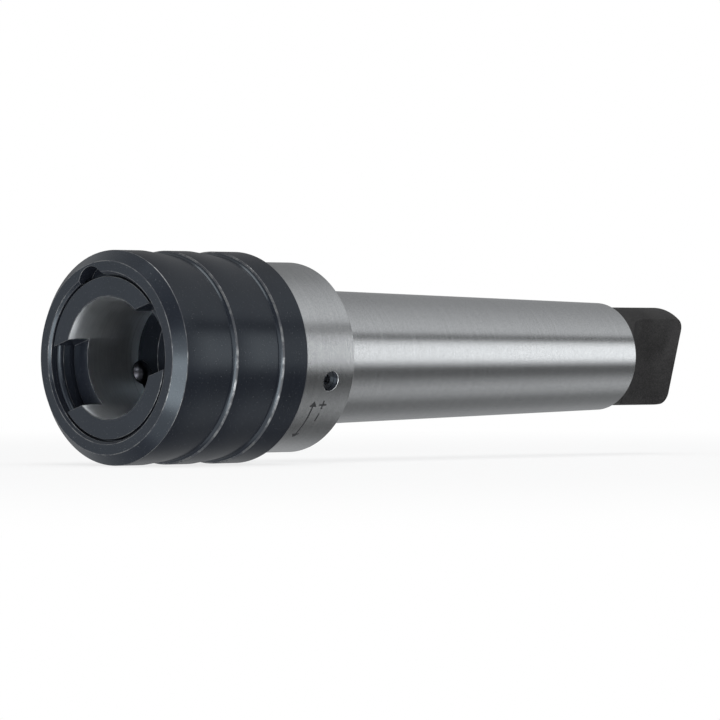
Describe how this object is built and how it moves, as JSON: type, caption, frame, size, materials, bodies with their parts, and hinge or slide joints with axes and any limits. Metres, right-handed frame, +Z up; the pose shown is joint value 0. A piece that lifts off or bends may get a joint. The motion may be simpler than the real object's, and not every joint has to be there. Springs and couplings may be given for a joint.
{
  "type": "tapping chuck",
  "caption": "Quick-change tapping head: slotted spring-loaded nose socket with a release sleeve, floating on a collared taper shank with a tang.",
  "frame": {"origin": "centre of the shank taper's gauge plane, on the axis", "axes": "+X along the axis towards the tang; the nose and its socket point to -X; +Z up as in the picture"},
  "size_m": [0.1427, 0.0368, 0.0368],
  "materials": {
    "ground_steel": "ground, with fine lines around the axis; black oxide on the tang",
    "black_steel": "black oxide, satin",
    "spring_steel": "bright spring steel",
    "ball_steel": "polished",
    "bronze": "turned",
    "seal_rubber": "matte"
  },
  "bodies": {
    "shank": {"shank_body": "ground_steel", "guide_bush": "bronze", "bush_circlip": "spring_steel", "grease_seal": "seal_rubber", "tension_bolt": "black_steel", "tension_washer": "spring_steel", "compression_spring": "spring_steel", "tension_spring": "spring_steel"},
    "spindle": {"float_spindle": "black_steel", "thrust_washer": "spring_steel", "spring_seat_washer": "spring_steel", "spring_seat_ring": "spring_steel", "sleeve_spring": "spring_steel"},
    "snap_ring": {"sleeve_snap_ring": "black_steel"},
    "sleeve": {"release_sleeve": "black_steel"},
    "locking_ball_1": {"locking_ball_1": "ball_steel"},
    "locking_ball_2": {"locking_ball_2": "ball_steel"},
    "locking_ball_3": {"locking_ball_3": "ball_steel"},
    "torque_balls": {"torque_balls": "ball_steel"},
    "friction_pad": {"friction_pad": "bronze"},
    "adjusting_screw": {"adjusting_screw": "black_steel"}
  },
  "joints": [
    {"name": "float_slide", "type": "slide", "parent": "shank", "child": "spindle", "axis": [1, 0, 0], "range_m": [-0.0075, 0.004], "stiffness_N_per_m": 5000, "deforming": ["compression_spring", "tension_spring"]},
    {"name": "sleeve_slide", "type": "slide", "parent": "spindle", "child": "snap_ring", "axis": [1, 0, 0], "range_m": [0, 0.004], "stiffness_N_per_m": 2000, "springref_m": -0.003, "deforming": ["sleeve_spring"]},
    {"name": "sleeve_spin", "type": "hinge", "parent": "snap_ring", "child": "sleeve", "pos_m": [-0.0482, 0, 0], "axis": [1, 0, 0], "continuous": true},
    {"name": "locking_ball_1_slide", "type": "slide", "parent": "spindle", "child": "locking_ball_1", "axis": [0, 0.9659, -0.2588], "range_m": [0, 0.001]},
    {"name": "locking_ball_2_slide", "type": "slide", "parent": "spindle", "child": "locking_ball_2", "axis": [0, -0.2588, 0.9659], "range_m": [0, 0.001]},
    {"name": "locking_ball_3_slide", "type": "slide", "parent": "spindle", "child": "locking_ball_3", "axis": [0, -0.7071, -0.7071], "range_m": [0, 0.001]},
    {"name": "torque_ball_travel", "type": "slide", "parent": "shank", "child": "torque_balls", "axis": [1, 0, 0], "range_m": [-0.00375, 0.002]},
    {"name": "drag_feed", "type": "slide", "parent": "shank", "child": "friction_pad", "axis": [0, 0.969, 0.247], "range_m": [-0.0006, 0.0002]},
    {"name": "adjusting_screw_turn", "type": "hinge", "parent": "friction_pad", "child": "adjusting_screw", "pos_m": [-0.01065, 0, 0], "axis": [0, 0.969, 0.247], "range_deg": [-362, 122]}
  ],
  "couplings": [
    {"joint": "locking_ball_1_slide", "follows": "sleeve_slide", "ratio": 0.25},
    {"joint": "locking_ball_2_slide", "follows": "sleeve_slide", "ratio": 0.25},
    {"joint": "locking_ball_3_slide", "follows": "sleeve_slide", "ratio": 0.25},
    {"joint": "torque_ball_travel", "follows": "float_slide", "ratio": 0.5},
    {"joint": "adjusting_screw_turn", "follows": "drag_feed", "rad_per_m": 10472}
  ]
}
